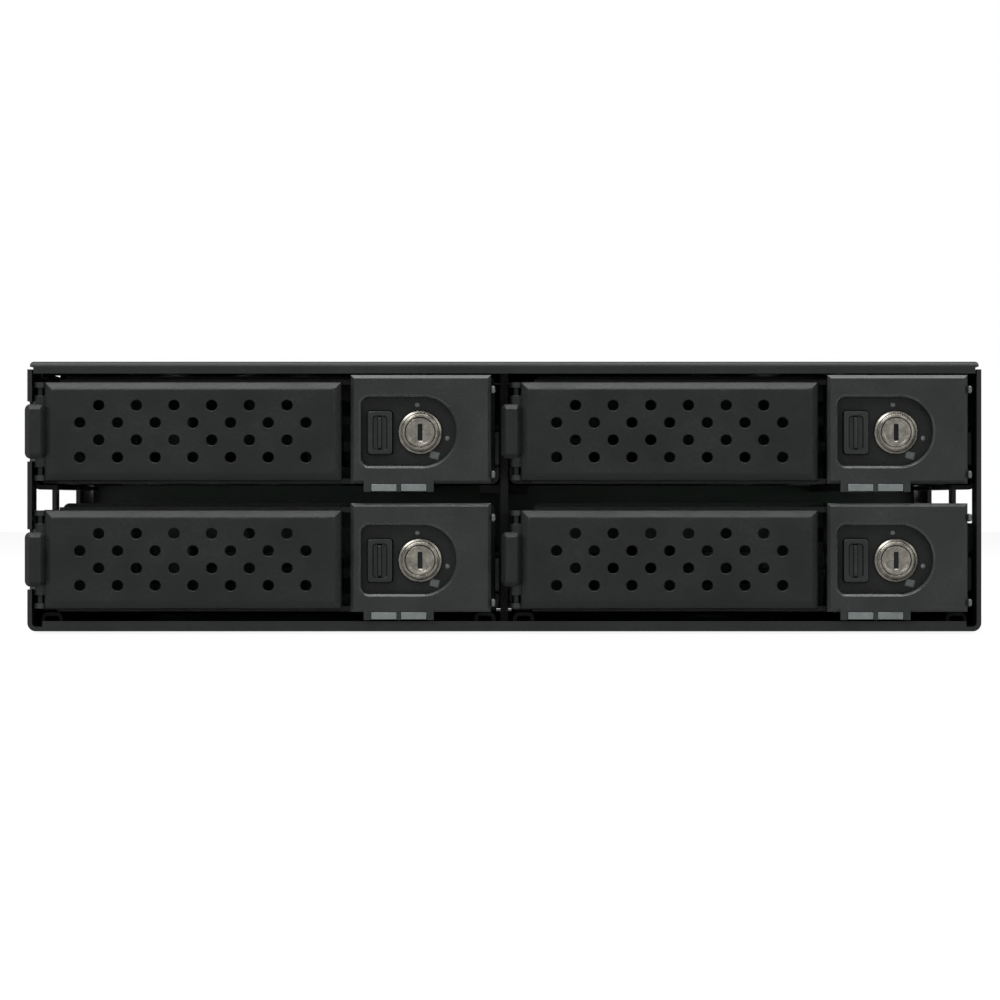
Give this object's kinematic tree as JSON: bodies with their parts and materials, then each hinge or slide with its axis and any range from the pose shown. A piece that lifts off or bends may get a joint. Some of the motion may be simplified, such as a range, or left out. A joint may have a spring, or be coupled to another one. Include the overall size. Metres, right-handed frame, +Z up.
{
  "type": "hot swap drive cage",
  "caption": "Front-loading cage for small drives in a half-height bay: sliding trays with perforated swing levers, push latches and cam locks, backplane board and rear fans.",
  "frame": {"origin": "centre of the base, midway between the tray faces and the backs of the fans", "axes": "+X to the right seen from the front, +Y from the tray faces to the fans, +Z up"},
  "size_m": [0.1464, 0.142, 0.0413],
  "materials": {
    "cage_steel": "black satin powder coat on folded steel sheet",
    "plated_steel": "zinc plated steel",
    "tray_steel": "black coated steel tray",
    "front_plastic": "black moulded ABS, fine spark texture",
    "button_plastic": "black moulded plastic",
    "catch_plastic": "dark moulded acetal",
    "spring_steel": "spring steel",
    "lock_metal": "satin nickel on die-cast zinc",
    "plug_metal": "satin nickel plug",
    "clear_plastic": "clear moulded light pipe",
    "circuit_board": "green solder mask on glass epoxy",
    "connector_plastic": "black glass-filled connector plastic",
    "board_component": "black component bodies",
    "fan_plastic": "black glass-filled fan plastic",
    "black_screw": "black oxide steel"
  },
  "bodies": {
    "root": {"chassis": "cage_steel", "top_cover": "cage_steel", "centre_wall": "cage_steel", "rear_panel": "cage_steel", "floor_rails": "cage_steel", "cover_screws": "black_screw", "panel_screws": "black_screw", "fan_screws": "black_screw", "board_screws": "plated_steel", "backplane_board": "circuit_board", "board_parts": "board_component", "drive_sockets": "connector_plastic", "data_ports": "connector_plastic", "power_inlets": "connector_plastic", "fan_frame_left": "fan_plastic", "fan_frame_right": "fan_plastic"},
    "tray_upper_left": {"tray_frame_upper_left": "tray_steel", "tray_bezel_upper_left": "front_plastic", "lever_pin_upper_left": "spring_steel", "lever_spring_upper_left": "spring_steel", "lock_barrel_upper_left": "lock_metal", "light_pipes_upper_left": "clear_plastic"},
    "lever_upper_left": {"lever_upper_left": "front_plastic"},
    "button_upper_left": {"latch_button_upper_left": "button_plastic"},
    "catch_upper_left": {"latch_catch_upper_left": "catch_plastic"},
    "plug_upper_left": {"lock_plug_upper_left": "plug_metal"},
    "tray_upper_right": {"tray_frame_upper_right": "tray_steel", "tray_bezel_upper_right": "front_plastic", "lever_pin_upper_right": "spring_steel", "lever_spring_upper_right": "spring_steel", "lock_barrel_upper_right": "lock_metal", "light_pipes_upper_right": "clear_plastic"},
    "lever_upper_right": {"lever_upper_right": "front_plastic"},
    "button_upper_right": {"latch_button_upper_right": "button_plastic"},
    "catch_upper_right": {"latch_catch_upper_right": "catch_plastic"},
    "plug_upper_right": {"lock_plug_upper_right": "plug_metal"},
    "tray_lower_left": {"tray_frame_lower_left": "tray_steel", "tray_bezel_lower_left": "front_plastic", "lever_pin_lower_left": "spring_steel", "lever_spring_lower_left": "spring_steel", "lock_barrel_lower_left": "lock_metal", "light_pipes_lower_left": "clear_plastic"},
    "lever_lower_left": {"lever_lower_left": "front_plastic"},
    "button_lower_left": {"latch_button_lower_left": "button_plastic"},
    "catch_lower_left": {"latch_catch_lower_left": "catch_plastic"},
    "plug_lower_left": {"lock_plug_lower_left": "plug_metal"},
    "tray_lower_right": {"tray_frame_lower_right": "tray_steel", "tray_bezel_lower_right": "front_plastic", "lever_pin_lower_right": "spring_steel", "lever_spring_lower_right": "spring_steel", "lock_barrel_lower_right": "lock_metal", "light_pipes_lower_right": "clear_plastic"},
    "lever_lower_right": {"lever_lower_right": "front_plastic"},
    "button_lower_right": {"latch_button_lower_right": "button_plastic"},
    "catch_lower_right": {"latch_catch_lower_right": "catch_plastic"},
    "plug_lower_right": {"lock_plug_lower_right": "plug_metal"},
    "rotor_left": {"fan_rotor_left": "fan_plastic"},
    "rotor_right": {"fan_rotor_right": "fan_plastic"}
  },
  "joints": [
    {"name": "tray_slide_upper_left", "type": "slide", "parent": "root", "child": "tray_upper_left", "axis": [0, -1, 0], "range_m": [0, 0.115]},
    {"name": "lever_swing_upper_left", "type": "hinge", "parent": "tray_upper_left", "child": "lever_upper_left", "pos_m": [-0.07105, -0.0693, 0.0306], "axis": [0, 0, -1], "range_deg": [0, 75]},
    {"name": "button_press_upper_left", "type": "slide", "parent": "tray_upper_left", "child": "button_upper_left", "axis": [0, 1, 0], "range_m": [0, 0.0016], "stiffness_N_per_m": 400, "springref_m": -0.0008},
    {"name": "catch_shift_upper_left", "type": "slide", "parent": "tray_upper_left", "child": "catch_upper_left", "axis": [1, 0, 0], "range_m": [0, 0.0012]},
    {"name": "lock_turn_upper_left", "type": "hinge", "parent": "tray_upper_left", "child": "plug_upper_left", "pos_m": [-0.0129, -0.07, 0.03045], "axis": [0, 1, 0], "range_deg": [0, 90]},
    {"name": "tray_slide_upper_right", "type": "slide", "parent": "root", "child": "tray_upper_right", "axis": [0, -1, 0], "range_m": [0, 0.115]},
    {"name": "lever_swing_upper_right", "type": "hinge", "parent": "tray_upper_right", "child": "lever_upper_right", "pos_m": [0.00185, -0.0693, 0.0306], "axis": [0, 0, -1], "range_deg": [0, 75]},
    {"name": "button_press_upper_right", "type": "slide", "parent": "tray_upper_right", "child": "button_upper_right", "axis": [0, 1, 0], "range_m": [0, 0.0016], "stiffness_N_per_m": 400, "springref_m": -0.0008},
    {"name": "catch_shift_upper_right", "type": "slide", "parent": "tray_upper_right", "child": "catch_upper_right", "axis": [1, 0, 0], "range_m": [0, 0.0012]},
    {"name": "lock_turn_upper_right", "type": "hinge", "parent": "tray_upper_right", "child": "plug_upper_right", "pos_m": [0.06, -0.07, 0.03045], "axis": [0, 1, 0], "range_deg": [0, 90]},
    {"name": "tray_slide_lower_left", "type": "slide", "parent": "root", "child": "tray_lower_left", "axis": [0, -1, 0], "range_m": [0, 0.115]},
    {"name": "lever_swing_lower_left", "type": "hinge", "parent": "tray_lower_left", "child": "lever_lower_left", "pos_m": [-0.07105, -0.0693, 0.011], "axis": [0, 0, -1], "range_deg": [0, 75]},
    {"name": "button_press_lower_left", "type": "slide", "parent": "tray_lower_left", "child": "button_lower_left", "axis": [0, 1, 0], "range_m": [0, 0.0016], "stiffness_N_per_m": 400, "springref_m": -0.0008},
    {"name": "catch_shift_lower_left", "type": "slide", "parent": "tray_lower_left", "child": "catch_lower_left", "axis": [1, 0, 0], "range_m": [0, 0.0012]},
    {"name": "lock_turn_lower_left", "type": "hinge", "parent": "tray_lower_left", "child": "plug_lower_left", "pos_m": [-0.0129, -0.07, 0.01085], "axis": [0, 1, 0], "range_deg": [0, 90]},
    {"name": "tray_slide_lower_right", "type": "slide", "parent": "root", "child": "tray_lower_right", "axis": [0, -1, 0], "range_m": [0, 0.115]},
    {"name": "lever_swing_lower_right", "type": "hinge", "parent": "tray_lower_right", "child": "lever_lower_right", "pos_m": [0.00185, -0.0693, 0.011], "axis": [0, 0, -1], "range_deg": [0, 75]},
    {"name": "button_press_lower_right", "type": "slide", "parent": "tray_lower_right", "child": "button_lower_right", "axis": [0, 1, 0], "range_m": [0, 0.0016], "stiffness_N_per_m": 400, "springref_m": -0.0008},
    {"name": "catch_shift_lower_right", "type": "slide", "parent": "tray_lower_right", "child": "catch_lower_right", "axis": [1, 0, 0], "range_m": [0, 0.0012]},
    {"name": "lock_turn_lower_right", "type": "hinge", "parent": "tray_lower_right", "child": "plug_lower_right", "pos_m": [0.06, -0.07, 0.01085], "axis": [0, 1, 0], "range_deg": [0, 90]},
    {"name": "fan_spin_left", "type": "hinge", "parent": "root", "child": "rotor_left", "pos_m": [-0.0526, 0.066, 0.02065], "axis": [0, 1, 0], "continuous": true},
    {"name": "fan_spin_right", "type": "hinge", "parent": "root", "child": "rotor_right", "pos_m": [0.0526, 0.066, 0.02065], "axis": [0, 1, 0], "continuous": true}
  ],
  "couplings": [
    {"joint": "catch_shift_upper_left", "follows": "button_press_upper_left", "ratio": 0.75},
    {"joint": "catch_shift_upper_right", "follows": "button_press_upper_right", "ratio": 0.75},
    {"joint": "catch_shift_lower_left", "follows": "button_press_lower_left", "ratio": 0.75},
    {"joint": "catch_shift_lower_right", "follows": "button_press_lower_right", "ratio": 0.75}
  ]
}
